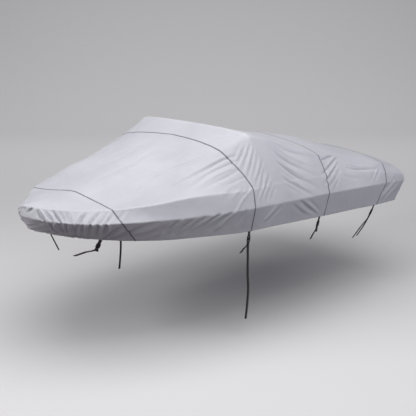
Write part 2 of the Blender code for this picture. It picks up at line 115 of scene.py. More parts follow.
heading = Vector((
    math.cos(CAMERA_HEADING) * math.cos(CAMERA_DIP),
    math.sin(CAMERA_HEADING) * math.cos(CAMERA_DIP),
    -math.sin(CAMERA_DIP),
))
camera = new_object("camera", bpy.data.cameras.new("camera"))
camera.data.lens = CAMERA_LENS
camera.data.sensor_width = 36.0
camera.data.clip_end = 1000.0
face(camera, CAMERA_AT, heading)
bpy.context.scene.camera = camera
bpy.context.scene.view_settings.view_transform = "Standard"

ahead = Vector((heading.x, heading.y, 0.0)).normalized()
beside = Vector((ahead.y, -ahead.x, 0.0))
profile = [(PAPER_FRONT, 0.0)]
for step in range(PAPER_CURVE_STEPS + 1):
    turn = math.radians(90 * step / PAPER_CURVE_STEPS)
    profile.append((PAPER_BACK + PAPER_CURVE * math.sin(turn), PAPER_CURVE * (1 - math.cos(turn))))
profile.append((PAPER_BACK + PAPER_CURVE, PAPER_TOP))
corners = []
for reach, rise in profile:
    for side in (-0.5, 0.5):
        corners.append(ahead * reach + beside * side * PAPER_WIDTH + Vector((0, 0, PAPER_HEIGHT + rise)))
cells = [(i, i + 1, i + 3, i + 2) for i in range(0, len(corners) - 2, 2)]
paper = new_object("paper_sweep", bpy.data.meshes.new("paper_sweep"))
paper.data.from_pydata(corners, [], cells)
paper.data.shade_smooth()
seamless_paper, shader = new_material("seamless_matt_paper")
seen = node(seamless_paper, "ShaderNodeLightPath")
tone = node(seamless_paper, "ShaderNodeMix", [("Factor", seen.outputs["Is Camera Ray"])], data_type="RGBA")
tone.inputs[6].default_value, tone.inputs[7].default_value = linear(FLAGGED_GREY), linear(PAPER_GREY)
feed(seamless_paper, shader, "Base Color", tone.outputs[2])
shader.inputs["Roughness"].default_value = 0.9
paper.data.materials.append(seamless_paper)

SOFTBOXES = (
    # name, place, aim, width, length, watts, colour
    ("softbox_overhead", (0.9, 1.2, 4.6), (0.6, 0.6, 0.0), 7.0, 5.0, 300.0, (1.0, 0.985, 0.97)),
    ("softbox_port", (0.9, 5.0, 4.2), (0.6, 0.4, -0.6), 6.0, 3.0, 115.0, (1.0, 0.985, 0.97)),
    ("softbox_bow", (7.5, -2.5, 3.6), (0.5, 0.0, -1.0), 4.0, 3.0, 315.0, (1.0, 0.985, 0.97)),
    ("softbox_stern", (-4.0, 8.2, 1.4), (-0.6, 0.0, -0.8), 4.0, 3.0, 125.0, (0.93, 0.96, 1.06)),
    ("sweep_lamp", (-5.5, -5.8, 6.5), (-10.0, -10.5, -2.0), 24.0, 2.0, 790.0, (1.0, 0.99, 0.98)),
)
for name, place, aim, width, depth, watts, colour in SOFTBOXES:
    lamp = bpy.data.lights.new(name, "AREA")
    lamp.shape = "RECTANGLE"
    lamp.size, lamp.size_y = width, depth
    lamp.energy = watts
    lamp.color = colour
    face(new_object(name, lamp), place, Vector(aim) - Vector(place))

room = bpy.data.worlds.new("grey_room")
room.use_nodes = True
fill = room.node_tree.nodes["Background"].inputs
fill["Color"].default_value = linear(ROOM_GREY)
fill["Strength"].default_value = ROOM_STRENGTH
bpy.context.scene.world = room


# The cover's cloth: 600-denier polyester, woven plain and coated inside, cut as five panels and
# draped from the windshield's top over the gunwales. The skirt ends in a doubled hem with a shock
# cord in it, which gathers the cloth at the bow. Lengths run forward from the stern's rail and
# up from the strap's low end, as the cover was laid out; the datum sets them under the crest.
PORT, STARBOARD = 1, -1
CLOTH_THICKNESS = 0.0022
DATUM = np.array((2.410, 0.0, 1.8108))

# Each section's hem, rail, break and shoulder as (x, half breadth, height), its crown as
# (x, height), how freely it arches at the shoulder, how sharply it folds at the break, and the
# rows of cloth up to the next section.
SECTIONS = (
    ("stern", (0.125, 1.040, 0.757), (-0.015, 1.072, 0.985), (-0.005, 1.045, 1.065),
        (0.030, 0.890, 1.160), (0.050, 1.280), 0.3, 0.0, 34),
    ("seam 4", (0.525, 1.060, 0.775), (0.380, 1.085, 1.015), (0.350, 1.040, 1.130),
        (0.310, 0.965, 1.215), (0.300, 1.325), 0.3, 0.0, 46),
    ("seats", (0.900, 1.065, 0.800), (0.900, 1.105, 1.050), (0.900, 0.995, 1.220),
        (0.900, 0.820, 1.365), (0.900, 1.500), 0.3, 0.0, 52),
    ("seam 3", (1.500, 1.065, 0.830), (1.480, 1.115, 1.085), (1.460, 1.045, 1.260),
        (1.450, 0.915, 1.463), (1.380, 1.590), 0.3, 0.0, 46),
    ("cockpit", (2.000, 1.065, 0.860), (2.000, 1.115, 1.105), (2.000, 1.040, 1.290),
        (2.000, 0.820, 1.645), (2.000, 1.695), 0.3, 0.0, 38),
    ("windshield", (2.410, 1.065, 0.885), (2.410, 1.115, 1.125), (2.410, 1.050, 1.300),
        (2.410, 0.785, 1.795), (2.410, 1.815), 0.1, 0.1, 24),
    ("seam 2", (2.609, 1.045, 0.886), (2.630, 1.120, 1.135), (2.594, 1.052, 1.300),
        (2.700, 0.710, 1.635), (2.700, 1.718), 0.6, 0.4, 54),
    ("foredeck", (3.198, 0.944, 0.926), (3.250, 1.030, 1.150), (3.347, 0.938, 1.325),
        (3.186, 0.592, 1.494), (3.250, 1.570), 1.0, 1.0, 32),
    ("step", (3.526, 0.822, 0.939), (3.600, 0.910, 1.155), (3.693, 0.790, 1.286),
        (3.572, 0.509, 1.391), (3.620, 1.450), 1.0, 1.0, 30),
    ("seam 1", (3.758, 0.694, 0.953), (3.930, 0.730, 1.155), (3.943, 0.601, 1.260),
        (3.920, 0.330, 1.280), (3.930, 1.320), 1.0, 1.0, 38),
    ("bow deck", (4.028, 0.478, 0.976), (4.160, 0.550, 1.155), (4.150, 0.420, 1.255),
        (4.140, 0.240, 1.290), (4.130, 1.305), 1.0, 1.0, 44),
    ("bow curve", (4.267, 0.232, 1.010), (4.360, 0.300, 1.165), (4.330, 0.235, 1.265),
        (4.290, 0.140, 1.290), (4.270, 1.300), 1.0, 1.0, 42),
    ("bow", (4.420, 0.000, 1.050), (4.485, 0.000, 1.185), (4.455, 0.000, 1.275),
        (4.400, 0.000, 1.290), (4.350, 1.295), 1.0, 1.0, 0),
)
STARBOARD_SET = {
    ("seam 2", "shoulder"): (2.788, 0.728, 1.636),
    ("foredeck", "break"): (3.250, 0.860, 1.330),
    ("foredeck", "shoulder"): (3.250, 0.690, 1.460),
    ("step", "break"): (3.620, 0.790, 1.315),
    ("step", "shoulder"): (3.620, 0.630, 1.390),
    ("seam 1", "rail"): (3.930, 0.775, 1.150),
    ("seam 1", "break"): (3.920, 0.730, 1.228),
    ("seam 1", "shoulder"): (3.920, 0.500, 1.250),
    ("bow deck", "rail"): (4.160, 0.535, 1.145),
    ("bow deck", "break"): (4.150, 0.450, 1.225),
    ("bow curve", "break"): (4.330, 0.245, 1.220),
    ("bow curve", "shoulder"): (4.290, 0.140, 1.265),
}
LINES = ("hem", "rail", "break", "shoulder", "crown")
NAMES = [row[0] for row in SECTIONS]
STEPS = [row[8] for row in SECTIONS]
CREST = NAMES.index("windshield")
# How much the two sides meet in a ridge along the crown: 0 arches over it, and 1 folds.
ROOF = 0.4
TRANSOM_HEM_X = 0.105
TRANSOM_HALF_BREADTH = 0.985
TRANSOM_BULGE = 0.03
TRANSOM_STEPS = 24
# Shares up a section where its threads are followed, the closest ones at the hem.
SHARES = (
    np.concatenate([np.linspace(0, 0.16, 8, endpoint=False), np.linspace(0.16, 1, 18, endpoint=False)]),
    np.linspace(0, 1, 12, endpoint=False),
    np.linspace(0, 1, 44, endpoint=False),
    np.linspace(0, 1, 66),
)
LEVELS = np.concatenate([level + shares for level, shares in enumerate(SHARES)])

# Folds, as the drape leaves them: the side, the points a fold runs through as (x at the rail,
# level), its half width and its height in millimetres, below zero for a trough. Level 0 is the
# hem, 1 the rail, 2 the break, 3 the shoulder and 4 the crown.
FOLDS = (
    # Fan from the windshield's port corner.
    (PORT, ((2.50, 2.89), (2.57, 2.77), (2.66, 2.64)), 13, -11),
    (PORT, ((2.48, 2.86), (2.54, 2.77), (2.61, 2.64)), 13, 8),
    (PORT, ((2.46, 2.84), (2.51, 2.73), (2.59, 2.61), (2.65, 2.52)), 13, -14),
    (PORT, ((2.43, 2.82), (2.49, 2.70), (2.57, 2.59), (2.63, 2.45)), 13, 9),
    (PORT, ((2.41, 2.82), (2.47, 2.68), (2.54, 2.55), (2.62, 2.41)), 13, -15),
    (PORT, ((2.35, 2.82), (2.44, 2.59), (2.50, 2.45), (2.58, 2.32), (2.65, 2.20)), 14, -16),
    (PORT, ((2.39, 2.77), (2.46, 2.61), (2.53, 2.48), (2.62, 2.32)), 13, 10),
    (PORT, ((2.36, 2.64), (2.43, 2.45), (2.50, 2.32), (2.59, 2.14)), 14, -12),
    (PORT, ((2.32, 2.52), (2.42, 2.30), (2.52, 2.14), (2.59, 2.02)), 14, -13),
    (PORT, ((2.36, 2.52), (2.43, 2.34), (2.53, 2.18)), 13, 8),
    # The fan's lower part, down to the rail.
    (PORT, ((2.35, 2.32), (2.44, 2.11), (2.54, 1.75), (2.60, 1.25)), 14, -16),
    (PORT, ((2.30, 2.23), (2.39, 2.02), (2.48, 1.67), (2.56, 1.25)), 14, -18),
    (PORT, ((2.33, 2.23), (2.42, 2.05), (2.51, 1.67), (2.57, 1.33)), 13, 12),
    (PORT, ((2.30, 2.07), (2.39, 1.67), (2.46, 1.17)), 13, -14),
    (PORT, ((2.26, 2.00), (2.33, 1.58), (2.40, 1.17)), 14, -10),
    # The fan ahead of seam 2.
    (PORT, ((2.62, 2.11), (2.74, 1.67), (2.87, 1.00), (2.95, 0.58)), 12, 18),
    (PORT, ((2.65, 2.11), (2.77, 1.67), (2.89, 1.00)), 12, -16),
    (PORT, ((2.70, 2.11), (2.79, 1.83), (2.88, 1.33)), 12, -12),
    (PORT, ((2.74, 2.16), (2.84, 2.00), (2.93, 1.50)), 12, -10),
    (PORT, ((2.80, 2.14), (2.88, 2.00), (2.97, 1.50)), 12, -8),
    # Long pulls from the shoulder aft to seam 3.
    (PORT, ((2.03, 3.00), (1.92, 2.84), (1.76, 2.80), (1.54, 2.80)), 20, -13),
    (PORT, ((2.04, 2.84), (1.91, 2.66), (1.75, 2.55), (1.59, 2.43)), 20, 8),
    (PORT, ((2.13, 2.77), (2.06, 2.61), (1.95, 2.45), (1.82, 2.30), (1.63, 2.05)), 18, -22),
    (PORT, ((2.14, 2.55), (2.02, 2.36), (1.89, 2.18), (1.72, 1.92)), 17, 10),
    (PORT, ((2.14, 2.45), (2.05, 2.30), (1.95, 2.11), (1.81, 1.83), (1.60, 1.25)), 17, -22),
    (PORT, ((2.14, 2.20), (2.03, 2.00), (1.88, 1.58), (1.72, 1.17)), 16, 10),
    (PORT, ((2.13, 2.11), (2.01, 1.83), (1.88, 1.42), (1.73, 1.00)), 16, -18),
    (PORT, ((2.13, 1.83), (2.04, 1.58), (1.92, 1.25)), 16, -9),
    # Pulls from the seat's corner forward to seam 3.
    (PORT, ((1.48, 2.70), (1.26, 2.89), (0.92, 3.05)), 15, -19),
    (PORT, ((1.53, 2.09), (1.33, 2.41), (1.00, 2.91)), 14, -22),
    (PORT, ((1.47, 2.34), (1.25, 2.70), (0.98, 3.00)), 14, 12),
    (PORT, ((1.54, 1.50), (1.38, 2.00), (1.08, 2.59)), 14, -22),
    (PORT, ((1.53, 1.83), (1.36, 2.20), (1.07, 2.70)), 14, 13),
    (PORT, ((1.50, 1.25), (1.32, 1.75), (1.13, 2.30)), 14, -16),
    (PORT, ((1.41, 1.08), (1.29, 1.58), (1.17, 2.02)), 14, -10),
    # Pulls from the seat's corner aft.
    (PORT, ((0.94, 3.00), (0.87, 2.64), (0.73, 2.36)), 16, -20),
    (PORT, ((1.04, 2.25), (0.84, 2.07), (0.63, 2.14), (0.44, 2.75)), 15, -18),
    (PORT, ((1.00, 2.48), (0.81, 2.30), (0.63, 2.39)), 15, 9),
    (PORT, ((1.16, 1.92), (0.99, 1.58), (0.76, 1.50)), 16, -9),
    (PORT, ((0.53, 2.30), (0.59, 1.75), (0.69, 1.25)), 13, -12),
    (PORT, ((0.45, 2.41), (0.52, 1.75), (0.61, 1.25)), 13, -14),
    # Long pulls over the foredeck.
    (PORT, ((2.55, 2.77), (2.69, 2.80), (2.88, 2.75), (3.12, 2.64), (3.34, 2.50), (3.50, 2.36)), 18, -26),
    (PORT, ((2.56, 2.86), (2.73, 2.86), (2.96, 2.80), (3.18, 2.68)), 16, 12),
    (PORT, ((2.56, 2.66), (2.71, 2.66), (2.93, 2.59), (3.12, 2.41), (3.29, 2.20)), 16, -24),
    (PORT, ((2.63, 2.57), (2.84, 2.52), (3.03, 2.39), (3.17, 2.23)), 15, 14),
    (PORT, ((2.59, 2.50), (2.74, 2.43), (2.94, 2.32), (3.14, 2.14)), 15, -14),
    (PORT, ((2.62, 2.30), (2.77, 2.25), (2.91, 2.18)), 15, -9),
    (PORT, ((2.63, 3.05), (2.86, 3.08), (3.12, 3.09), (3.34, 3.11), (3.55, 3.03), (3.69, 2.91)), 15, -24),
    (PORT, ((2.69, 3.20), (2.91, 3.25), (3.15, 3.26), (3.36, 3.23), (3.53, 3.18)), 15, -17),
    (PORT, ((2.72, 3.03), (2.95, 3.03), (3.20, 3.02), (3.37, 2.95)), 14, 13),
    (PORT, ((2.96, 3.86), (3.24, 3.80), (3.39, 3.82), (3.58, 3.83), (3.74, 3.92)), 12, -24),
    (PORT, ((3.03, 3.68), (3.27, 3.66), (3.42, 3.65), (3.58, 3.66)), 14, 13),
    (STARBOARD, ((2.87, 3.82), (3.16, 3.86), (3.36, 3.85), (3.52, 3.80)), 15, -13),
    (PORT, ((3.75, 3.32), (3.88, 3.48), (4.01, 3.58)), 14, -9),
    # Short pulls across the windshield panel, from its corner.
    (PORT, ((2.45, 3.08), (2.54, 3.18), (2.64, 3.31), (2.78, 3.37)), 13, -10),
    (PORT, ((2.46, 3.00), (2.54, 3.06), (2.62, 3.11)), 13, -9),
    (PORT, ((2.41, 3.12), (2.50, 3.28), (2.59, 3.43)), 14, 6),
    (STARBOARD, ((2.50, 3.98), (2.58, 3.85)), 16, -5),
    # Gathers over the bow's rail.
    (PORT, ((4.47, 1.42), (4.44, 1.92)), 9, -29),
    (STARBOARD, ((4.43, 1.42), (4.46, 1.83)), 8, -18),
    (PORT, ((4.46, 1.83), (4.44, 2.20)), 9, 16),
    (PORT, ((4.42, 1.92), (4.41, 1.25), (4.39, 0.86), (4.39, 0.30)), 11, -36),
    (PORT, ((4.41, 1.92), (4.39, 1.33), (4.38, 0.67)), 10, 27),
    (PORT, ((4.39, 1.92), (4.38, 1.42), (4.36, 0.86), (4.35, 0.35)), 10, -16),
    (PORT, ((4.36, 2.00), (4.34, 1.50), (4.32, 1.00), (4.32, 0.49), (4.32, 0.04)), 11, -38),
    (PORT, ((4.38, 1.83), (4.36, 1.42), (4.35, 0.91), (4.34, 0.35)), 10, 22),
    (PORT, ((4.31, 1.92), (4.30, 1.50), (4.29, 0.95)), 11, -14),
    (PORT, ((4.26, 1.92), (4.27, 1.42), (4.27, 0.91)), 11, -18),
    (PORT, ((4.23, 1.92), (4.24, 1.50), (4.25, 1.00)), 11, 14),
    (PORT, ((4.09, 2.02), (4.17, 1.50), (4.21, 1.00), (4.25, 0.58), (4.27, 0.08)), 11, -32),
    (PORT, ((4.13, 2.00), (4.19, 1.58), (4.23, 1.08), (4.26, 0.58)), 10, 18),
    (PORT, ((3.98, 2.14), (4.07, 1.58), (4.14, 1.08), (4.18, 0.72), (4.22, 0.16)), 11, -27),
    (PORT, ((4.04, 2.00), (4.11, 1.58), (4.17, 1.08), (4.21, 0.63)), 10, 14),
    (PORT, ((3.96, 1.92), (4.04, 1.33), (4.11, 0.91), (4.17, 0.35)), 10, -22),
    (PORT, ((3.93, 1.75), (4.00, 1.33), (4.06, 0.81), (4.13, 0.25)), 9, -20),
    (PORT, ((3.94, 1.92), (4.01, 1.42), (4.09, 0.91)), 10, 14),
    (PORT, ((3.83, 1.83), (3.91, 1.42), (3.96, 1.17)), 11, -13),
    (PORT, ((3.80, 1.83), (3.86, 1.50), (3.93, 1.17)), 11, 11),
    # Stern corner.
    (PORT, ((0.22, 1.05), (0.28, 0.64), (0.35, 0.19)), 18, 18),
    (PORT, ((0.27, 1.06), (0.34, 0.74), (0.41, 0.26)), 15, -14),
    (PORT, ((0.12, 0.89), (0.21, 0.47), (0.25, 0.13)), 17, 14),
    (PORT, ((0.18, 1.02), (0.25, 0.59), (0.30, 0.16)), 14, -14),
    (PORT, ((0.11, 0.52), (0.14, 0.10)), 16, -11),
    (PORT, ((0.24, 1.73), (0.29, 1.08)), 24, 6),
    # Skirt about strap 3.
    (PORT, ((1.96, 0.94), (1.80, 0.54), (1.57, 0.08)), 16, -20),
    (PORT, ((1.90, 0.91), (1.73, 0.50), (1.56, 0.10)), 14, 18),
    (PORT, ((1.80, 0.87), (1.66, 0.49), (1.55, 0.16)), 14, -12),
    (PORT, ((2.02, 0.87), (1.86, 0.46), (1.66, 0.11)), 14, 11),
    (PORT, ((2.08, 0.86), (1.93, 0.46), (1.77, 0.12)), 16, -9),
    (PORT, ((1.51, 0.80), (1.50, 0.45), (1.51, 0.10)), 14, 8),
    (PORT, ((1.20, 0.87), (1.16, 0.49), (1.11, 0.14)), 18, -5),
    (PORT, ((1.05, 0.85), (1.03, 0.47), (1.01, 0.13)), 18, 5),
    # Skirt between straps 1 and 2.
    (PORT, ((2.88, 0.99), (3.00, 0.65), (3.10, 0.28)), 13, 25),
    (PORT, ((2.91, 1.01), (3.04, 0.67), (3.16, 0.26)), 13, -25),
    (PORT, ((2.95, 0.67), (3.04, 0.44), (3.11, 0.19)), 12, 19),
    (PORT, ((2.99, 1.02), (3.13, 0.72), (3.25, 0.30)), 13, 23),
    (PORT, ((3.04, 1.03), (3.17, 0.70), (3.30, 0.28)), 14, -25),
    (PORT, ((3.11, 1.00), (3.23, 0.74), (3.36, 0.36)), 14, 19),
    (PORT, ((3.20, 1.01), (3.30, 0.68), (3.42, 0.24)), 14, -23),
    (PORT, ((3.29, 0.92), (3.39, 0.58), (3.49, 0.23)), 13, 19),
    (PORT, ((3.34, 0.92), (3.44, 0.55), (3.53, 0.19)), 13, -25),
    (PORT, ((3.42, 1.00), (3.49, 0.69), (3.57, 0.36)), 13, 25),
    (PORT, ((3.48, 0.93), (3.54, 0.66), (3.62, 0.28)), 13, -23),
    (PORT, ((3.52, 0.90), (3.60, 0.58), (3.67, 0.24)), 13, 23),
    (PORT, ((2.74, 1.04), (2.79, 0.71), (2.85, 0.34)), 15, -17),
    (PORT, ((2.70, 0.96), (2.73, 0.59), (2.76, 0.21)), 15, 15),
    (PORT, ((2.47, 0.33), (2.38, 0.63), (2.29, 0.97)), 15, 19),
    (PORT, ((2.40, 0.24), (2.31, 0.58), (2.22, 0.89)), 15, -15),
    # Pleats that run in to strap 1.
    (PORT, ((4.12, 0.06), (4.03, 0.54), (3.94, 0.89)), 14, -40),
    (PORT, ((4.11, 0.03), (4.01, 0.45), (3.86, 0.86)), 13, 32),
    (PORT, ((4.10, 0.01), (4.00, 0.29), (3.91, 0.55), (3.75, 0.84), (3.63, 0.99)), 13, -35),
    (PORT, ((3.98, 0.24), (3.89, 0.41), (3.73, 0.64), (3.59, 0.89)), 13, 22),
    (PORT, ((3.91, 0.20), (3.74, 0.42), (3.57, 0.72)), 13, -22),
    (PORT, ((3.81, 0.13), (3.67, 0.35), (3.55, 0.56)), 13, 16),
    # Gathers in the bow's skirt.
    (PORT, ((4.39, 0.93), (4.38, 0.50), (4.38, 0.13)), 14, 30),
    (PORT, ((4.38, 0.89), (4.37, 0.45), (4.36, 0.10)), 12, -30),
    (PORT, ((4.36, 0.95), (4.36, 0.50), (4.34, 0.15)), 14, 34),
    (PORT, ((4.34, 0.91), (4.33, 0.47), (4.32, 0.14)), 12, -30),
    (PORT, ((4.32, 0.94), (4.31, 0.50), (4.31, 0.13)), 14, 34),
    (PORT, ((4.29, 0.97), (4.30, 0.52), (4.30, 0.15)), 12, -30),
    (PORT, ((4.28, 0.85), (4.29, 0.47), (4.29, 0.13)), 12, 27),
    (PORT, ((4.25, 0.95), (4.26, 0.50), (4.27, 0.12)), 14, -30),
    (PORT, ((4.21, 1.12), (4.23, 0.60), (4.25, 0.14)), 14, 30),
    (PORT, ((4.19, 1.05), (4.22, 0.61), (4.24, 0.16)), 12, -27),
    (PORT, ((4.16, 1.03), (4.20, 0.56), (4.22, 0.14)), 14, 30),
    (PORT, ((4.15, 0.99), (4.18, 0.57), (4.20, 0.13)), 12, -27),
    (PORT, ((4.12, 1.00), (4.16, 0.59), (4.18, 0.16)), 14, 27),
    (PORT, ((4.09, 0.99), (4.13, 0.59), (4.16, 0.13)), 12, -27),
    (PORT, ((4.07, 0.99), (4.11, 0.60), (4.15, 0.11)), 14, 30),
    (PORT, ((4.04, 0.98), (4.08, 0.60), (4.13, 0.12)), 12, -30),
    (PORT, ((4.02, 0.97), (4.06, 0.60), (4.12, 0.13)), 14, 23),
    # Over the transom's top corner.
    (PORT, ((0.02, 3.10), (0.10, 3.50)), 30, 5),
)
FOLD_STRENGTH = 0.6
POINTS_PER_SPAN = 6
# A fold is worked out to this many half widths. Two exponents put its highest point a little
# before the middle of its run, and its width starts at a share of the half width and gains another.
FOLD_REACH = 3
FOLD_SWELL = 0.8
FOLD_FADE = 1.2
FOLD_WIDTH_START = 0.55
FOLD_WIDTH_GAIN = 0.75
# The starboard side falls in like folds, each moved and resized a little so that no two match:
# the shift's size in metres and its rhythm from fold to fold, and what it does to the rest.
STARBOARD_SHIFT = 0.05
STARBOARD_RHYTHM = 2.1
STARBOARD_LOWERING = 0.3
STARBOARD_RESIZING = 4
STARBOARD_STRENGTH = 0.9


def length(vectors):
    return np.linalg.norm(vectors, axis=-1, keepdims=True)


def bump(values, middle, spread):
    """1 at the middle, dying out over the spread on either side."""
    return np.exp(-((values - middle) / spread) ** 2)


def ramp(values, start, run):
    """0 up to the start, rising to 1 over the run."""
    return np.clip((values - start) / run, 0, 1)


def hermite(start, end, leave, arrive, share):
    """Points on the cubic from start to end with the given tangents."""
    square, cube = share ** 2, share ** 3
    return (
        (2 * cube - 3 * square + 1) * start + (cube - 2 * square + share) * leave
        + (3 * square - 2 * cube) * end + (cube - square) * arrive
    )


def smooth_line(points, places, folded_at=None, mirror_last=False):
    """A smooth curve through points, read at fractional places, straight up to any fold."""
    points = np.asarray(points, float)
    after = points[-2] * (1, -1, 1) if mirror_last else points[-1]
    padded = np.vstack([points[0], points, after])
    back, ahead = points - padded[:-2], padded[2:] - points
    back_length, ahead_length = length(back) + 1e-6, length(ahead) + 1e-6
    slope = back / back_length * ahead_length + ahead / ahead_length * back_length
    slope /= back_length + ahead_length
    first = np.clip(np.floor(places).astype(int), 0, len(points) - 2)
    chord = points[first + 1] - points[first]
    leave, arrive = slope[first] * length(chord), slope[first + 1] * length(chord)
    if folded_at is not None:
        leave = np.where((first == folded_at)[:, None], chord, leave)
        arrive = np.where((first + 1 == folded_at)[:, None], chord, arrive)
    share = (places - first)[:, None]
    return hermite(points[first], points[first + 1], leave, arrive, share)


def half_section(hem, rail, brow, shoulder, crown, arch, crease):
    """One row of points from the hem up to the crown."""
    to_brow, to_shoulder, to_crown = brow - rail, shoulder - brow, crown - shoulder
    side, low, high = (length(run) + 1e-9 for run in (to_brow, to_shoulder, to_crown))
    over = (to_brow / side * low + to_shoulder / low * side) / (side + low)
    reach_brow = over * side * (1 - crease) + to_brow * crease
    leave_brow = over * low * (1 - crease) + to_shoulder * crease
    along = (to_shoulder / low * high + to_crown / high * low) / (low + high)
    reach_shoulder = (along * arch + to_shoulder / low * (1 - arch)) * low
    leave_shoulder = (along * arch + to_crown / high * (1 - arch)) * high
    level = to_crown * (1, 1, 0)
    reach_crown = level / (length(level) + 1e-9) * high * (1 - ROOF) + to_crown * ROOF
    spans = (
        (hem, rail, rail - hem, rail - hem),
        (rail, brow, to_brow, reach_brow),
        (brow, shoulder, leave_brow, reach_shoulder),
        (shoulder, crown, leave_shoulder, reach_crown),
    )
    return np.vstack([hermite(*span, shares[:, None]) for span, shares in zip(spans, SHARES)])


def bare_half(side):
    """One side of the bare shape as if to port, rows from the transom's hem to the bow."""
    between = [index + np.arange(count) / count for index, count in enumerate(STEPS[:-1])]
    places = np.concatenate(between + [[len(STEPS) - 1.0]])
    lines = []
    for line, title in enumerate(LINES):
        if title == "crown":
            points = [(row[5][0], 0.0, row[5][1]) for row in SECTIONS]
        elif side == PORT:
            points = [row[1 + line] for row in SECTIONS]
        else:
            points = [STARBOARD_SET.get((row[0], title), row[1 + line]) for row in SECTIONS]
        folded_at = CREST if title in ("shoulder", "crown") else None
        lines.append(smooth_line(points, places, folded_at, mirror_last=title != "crown"))
    # The two columns that say how freely it arches and how sharply it folds.
    for column in (6, 7):
        lines.append(np.interp(places, np.arange(len(SECTIONS)), [row[column] for row in SECTIONS]))
    body = np.array([half_section(*row) for row in zip(*lines)])
    edge = body[0]
    reach = np.linspace(1.0, 0.0, len(edge)) * TRANSOM_HALF_BREADTH
    foot = np.stack([np.full(len(edge), TRANSOM_HEM_X), reach, np.full(len(edge), edge[0, 2])], axis=1)
    drop = []
    for share in np.arange(TRANSOM_STEPS) / TRANSOM_STEPS:
        row = foot * (1 - share) + edge * share
        row[:, 0] -= TRANSOM_BULGE * np.sin(np.pi * share)
        drop.append(row)
    return np.concatenate([np.array(drop), body]), places


def grid_normals(grid):
    """Outward unit normals of a grid of rows and columns, level with each other at the bow."""
    normal = np.cross(np.gradient(grid, axis=1), np.gradient(grid, axis=0))
    normal /= length(normal) + 1e-12
    normal[-1, grid.shape[1] // 2] = normal[-2, grid.shape[1] // 2]
    bow = normal[-1] * (1, 0, 1)
    normal[-1] = bow / length(bow)
    return normal


def on_cloth(grid, places, side, points):
    """Points on the bare cloth along a smooth line through a fold's points."""
    share = np.linspace(0, len(points) - 1, POINTS_PER_SPAN * (len(points) - 1) + 1)
    line = smooth_line([(x, level, 0.0) for x, level in points], share)
    place = np.interp(line[:, 0], [row[2][0] for row in SECTIONS], np.arange(len(SECTIONS)))
    row = np.interp(place, places, np.arange(len(places))) + TRANSOM_STEPS
    column = np.interp(line[:, 1], LEVELS, np.arange(len(LEVELS)))
    if side == STARBOARD:
        column = grid.shape[1] - 1 - column
    low_row = np.minimum(row.astype(int), grid.shape[0] - 2)
    low_column = np.minimum(column.astype(int), grid.shape[1] - 2)
    ahead, beside = (row - low_row)[:, None], (column - low_column)[:, None]
    near = grid[low_row, low_column] * (1 - beside) + grid[low_row, low_column + 1] * beside
    far = grid[low_row + 1, low_column] * (1 - beside) + grid[low_row + 1, low_column + 1] * beside
    return near * (1 - ahead) + far * ahead


def raise_fold(lift, grid, path, half_width, height):
    """Adds one fold's rise to the cloth near it: narrow where it starts, wide where it dies out."""
    reach = FOLD_REACH * half_width
    near = np.all((grid > path.min(0) - reach) & (grid < path.max(0) + reach), axis=-1)
    spots = grid[near]
    nearest = np.full(len(spots), np.inf)
    share = np.zeros(len(spots))
    for index in range(len(path) - 1):
        run = path[index + 1] - path[index]
        part = np.clip((spots - path[index]) @ run / (run @ run + 1e-12), 0, 1)
        apart = np.linalg.norm(spots - path[index] - part[:, None] * run, axis=1)
        closer = apart < nearest
        nearest = np.where(closer, apart, nearest)
        share = np.where(closer, (index + part) / (len(path) - 1), share)
    fade = np.sin(np.pi * np.clip(share, 0, 1) ** FOLD_SWELL) ** FOLD_FADE
    width = half_width * (FOLD_WIDTH_START + FOLD_WIDTH_GAIN * share)
    lift[near] += height * fade * np.exp(-(nearest / width) ** 2)


port_half, places = bare_half(PORT)
starboard_half, _ = bare_half(STARBOARD)
bare = np.concatenate([port_half, starboard_half[:, -2::-1] * (1, -1, 1)], axis=1)
columns = np.concatenate([LEVELS, LEVELS[-2::-1]])

# The cloth rounds over the windshield's rail, most at its port end, and over the stem and the
# transom's top edge. Each has its place, its spread and the share that a pass rounds off.
ROUNDING_PASSES = 40
RAIL_SPREAD = 0.03
RAIL_SHARE = 0.04
RAIL_END_X = 2.44
RAIL_END_SPREAD = 0.19
RAIL_END_LEVEL = 3.0
RAIL_END_LEVELS = 0.45
PORT_END_SHARE = 0.55
OVER_THE_TOP = 2.9
STEM_X = 4.36
STEM_RUN = 0.08
STEM_LEVEL = 1.2
STEM_LEVELS = 0.5
STEM_SHARE = 0.25
TRANSOM_EDGE_LEVEL = 2.2
TRANSOM_EDGE_ROWS = 1.5
TRANSOM_EDGE_SHARE = 0.1
along_cover = bare[..., 0]
at_port = np.arange(len(columns)) < len(LEVELS)
near_end = bump(along_cover, RAIL_END_X, RAIL_END_SPREAD) * bump(columns, RAIL_END_LEVEL, RAIL_END_LEVELS)
near_rail = bump(along_cover, DATUM[0], RAIL_SPREAD) * (columns > OVER_THE_TOP)
near_stem = ramp(along_cover, STEM_X, STEM_RUN) * ramp(columns, STEM_LEVEL, STEM_LEVELS)
near_transom = bump(np.arange(len(bare)), TRANSOM_STEPS, TRANSOM_EDGE_ROWS)[:, None]
near_transom = near_transom * (columns > TRANSOM_EDGE_LEVEL)
rounding = (RAIL_SHARE + PORT_END_SHARE * at_port) * near_end + RAIL_SHARE * near_rail
rounding += STEM_SHARE * near_stem + TRANSOM_EDGE_SHARE * near_transom
rounding = np.clip(rounding, 0, 1)[..., None]
for _ in range(ROUNDING_PASSES):
    around = np.concatenate([bare[:1], bare, bare[-2:-1, ::-1]])
    beside = (np.roll(bare, 1, axis=1) + np.roll(bare, -1, axis=1)) / 2
    rounded = ((around[:-2] + around[2:]) / 2 + beside) / 2
    bare = bare + rounding * (rounded - bare)
folds = list(FOLDS)
